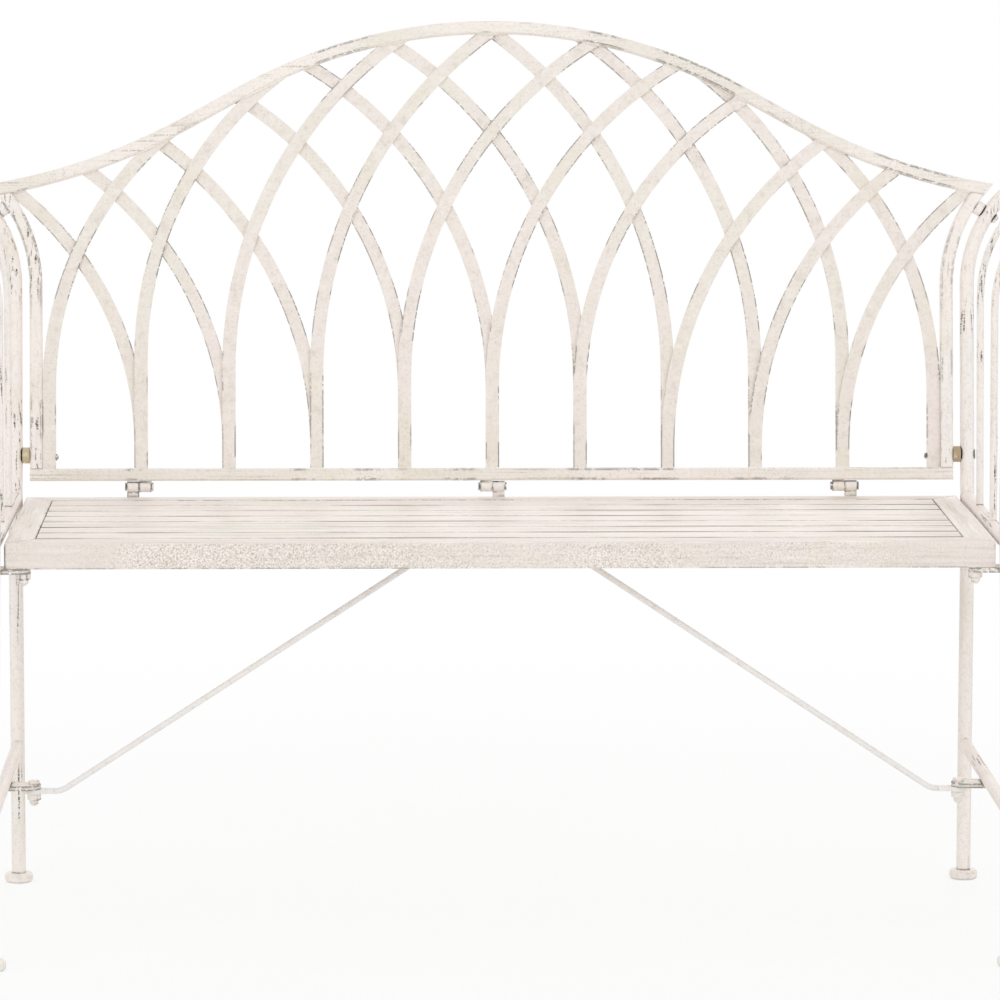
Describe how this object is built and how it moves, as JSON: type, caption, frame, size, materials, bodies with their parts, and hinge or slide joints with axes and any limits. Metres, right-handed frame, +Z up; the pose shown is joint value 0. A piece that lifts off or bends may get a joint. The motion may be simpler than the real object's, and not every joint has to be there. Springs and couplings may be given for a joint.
{
  "type": "garden bench",
  "caption": "Painted metal garden bench with an arched tracery back, slatted lift-up seat on barrel hinges, outward-rolled arms and splayed front legs.",
  "frame": {"origin": "on the floor, under the middle of the bounding box", "axes": "+X to the bench's left hand as a sitter sees it, which is the right of the picture; +Y to the back; +Z up"},
  "size_m": [1.3128, 0.5768, 0.9736],
  "materials": {
    "cream_paint": "satin cream paint, rubbed dark along the edges",
    "hammered_paint": "cream paint with a fine stipple",
    "pale_paint": "satin pale cream paint",
    "tan_spacer": "unpainted, tan"
  },
  "bodies": {
    "frame": {"arm_bars": "cream_paint", "back_knuckles": "cream_paint", "bolts": "cream_paint", "bottom_rail": "cream_paint", "cap_nuts": "cream_paint", "feet": "cream_paint", "front_strip_01": "cream_paint", "front_strip_02": "cream_paint", "front_strip_03": "cream_paint", "front_strip_04": "cream_paint", "front_strip_05": "cream_paint", "front_strip_06": "cream_paint", "front_strip_07": "cream_paint", "front_strip_08": "cream_paint", "front_strip_09": "cream_paint", "front_strip_10": "cream_paint", "hinge_pins": "cream_paint", "left_arm_rail": "cream_paint", "left_front_leg": "cream_paint", "left_rear_leg": "cream_paint", "left_side_rail": "cream_paint", "left_stay": "pale_paint", "left_stile": "cream_paint", "left_stretcher": "cream_paint", "lower_spacers": "tan_spacer", "rear_strip_01": "cream_paint", "rear_strip_02": "cream_paint", "rear_strip_03": "cream_paint", "rear_strip_04": "cream_paint", "rear_strip_05": "cream_paint", "rear_strip_06": "cream_paint", "rear_strip_07": "cream_paint", "rear_strip_08": "cream_paint", "rear_strip_09": "cream_paint", "rear_strip_10": "cream_paint", "right_arm_rail": "cream_paint", "right_front_leg": "cream_paint", "right_rear_leg": "cream_paint", "right_side_rail": "cream_paint", "right_stay": "pale_paint", "right_stile": "cream_paint", "right_stretcher": "cream_paint", "tabs": "cream_paint", "top_rail": "cream_paint", "upper_spacers": "cream_paint"},
    "seat": {"seat_front_rail": "hammered_paint", "seat_knuckles": "cream_paint", "seat_left_rail": "hammered_paint", "seat_rear_rail": "hammered_paint", "seat_right_rail": "hammered_paint", "slat_1": "cream_paint", "slat_2": "cream_paint", "slat_3": "cream_paint", "slat_4": "cream_paint", "slat_5": "cream_paint", "slat_6": "cream_paint", "slat_7": "cream_paint", "cross_bars": "cream_paint", "corner_lugs": "cream_paint"}
  },
  "joints": [
    {"name": "seat_hinge", "type": "hinge", "parent": "frame", "child": "seat", "pos_m": [0, 0.21293, 0.4512], "axis": [-1, 0, 0], "range_deg": [0, 95]}
  ]
}
